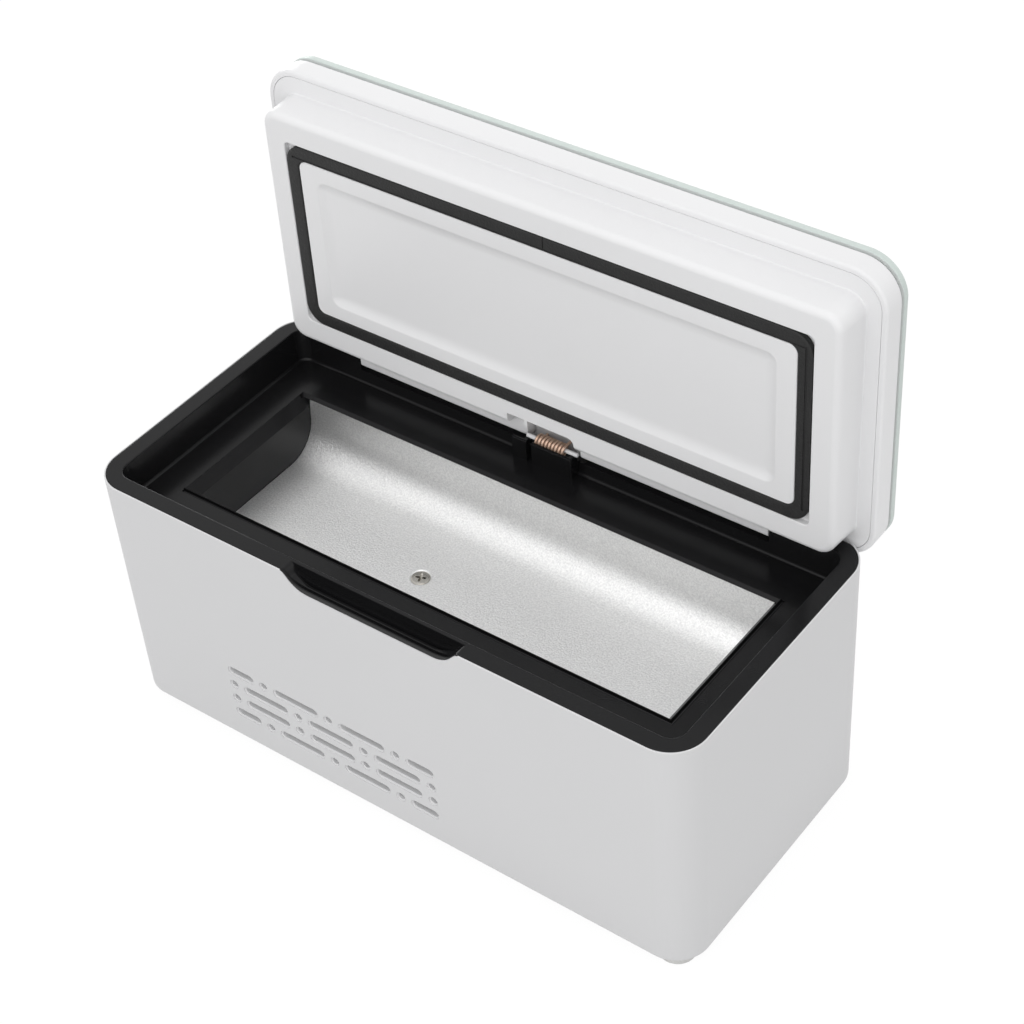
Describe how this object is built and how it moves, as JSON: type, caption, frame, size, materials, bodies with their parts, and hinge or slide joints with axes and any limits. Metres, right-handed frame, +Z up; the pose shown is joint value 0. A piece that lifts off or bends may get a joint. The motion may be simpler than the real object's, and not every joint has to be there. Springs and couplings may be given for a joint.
{
  "type": "insulin_cooling_case",
  "caption": "Portable insulin cooling case: white housing with front vents, black rim round an aluminium cooling tray, and a hinged lid with a gasketed plug and glass top",
  "frame": {"origin": "on the ground under the middle of the overall box with the lid open", "axes": "+X along the case's length to its right end, -Y to the front with the vents and finger notch, +Z up"},
  "size_m": [0.2, 0.1024, 0.1691],
  "materials": {
    "white_plastic": "smooth satin white moulded plastic",
    "black_plastic": "satin black moulded plastic, soft highlights",
    "foot_rubber": "light grey matt rubber",
    "steel": "plain machined steel",
    "aluminium_sheet": "frosted anodised aluminium",
    "foam": "rigid closed-cell foam",
    "ceramic": "white unglazed ceramic plates",
    "cell_wrap": "plain shrink wrap",
    "circuit_board": "green circuit board",
    "display_film": "dark display film",
    "copper_wire": "copper-coloured spring wire",
    "magnet_metal": "plated magnet",
    "lid_glass": "clear glass plate with a faint green edge",
    "gasket_rubber": "soft dark rubber"
  },
  "bodies": {
    "housing": {"outer_shell": "white_plastic", "base_plate": "white_plastic", "spring_pin": "white_plastic", "top_frame": "black_plastic", "fan_housing": "black_plastic", "battery_holder": "black_plastic", "charging_socket": "black_plastic", "temperature_sensor": "black_plastic", "foot_rear_right": "foot_rubber", "foot_rear_left": "foot_rubber", "foot_front_left": "foot_rubber", "foot_front_right": "foot_rubber", "base_screw_rear_right": "steel", "base_screw_rear_left": "steel", "base_screw_front_left": "steel", "base_screw_front_right": "steel", "tray_screw": "steel", "sink_screw_left": "steel", "sink_screw_right": "steel", "fan_screw_rear_right": "steel", "fan_screw_rear_left": "steel", "fan_screw_front_left": "steel", "fan_screw_front_right": "steel", "board_screw_front": "steel", "board_screw_rear": "steel", "hinge_pin_left": "steel", "hinge_pin_right": "steel", "cooling_tray": "aluminium_sheet", "cold_block": "aluminium_sheet", "heat_sink": "aluminium_sheet", "tray_insulation": "foam", "thermoelectric_module": "ceramic", "battery_cell_front": "cell_wrap", "battery_cell_rear": "cell_wrap", "control_board": "circuit_board", "lid_spring": "copper_wire", "case_magnet": "magnet_metal"},
    "lid": {"lid_liner": "white_plastic", "lid_cover": "white_plastic", "lid_glass": "lid_glass", "lid_gasket": "gasket_rubber", "lid_insulation": "foam", "lid_magnet": "magnet_metal", "touch_board": "circuit_board", "display": "display_film", "hinge_bar_left": "white_plastic", "hinge_bar_right": "white_plastic", "lid_screw_rear_right": "steel", "lid_screw_rear_left": "steel", "lid_screw_front_left": "steel", "lid_screw_front_right": "steel"},
    "impeller": {"fan_impeller": "black_plastic"}
  },
  "joints": [
    {"name": "lid_hinge", "type": "hinge", "parent": "housing", "child": "lid", "pos_m": [0, 0.03702, 0.08053], "axis": [1, 0, 0], "range_deg": [0, 90.48]},
    {"name": "fan_axle", "type": "hinge", "parent": "housing", "child": "impeller", "pos_m": [-0.02002, -0.00848, 0.012], "axis": [0, 0, 1], "continuous": true}
  ]
}
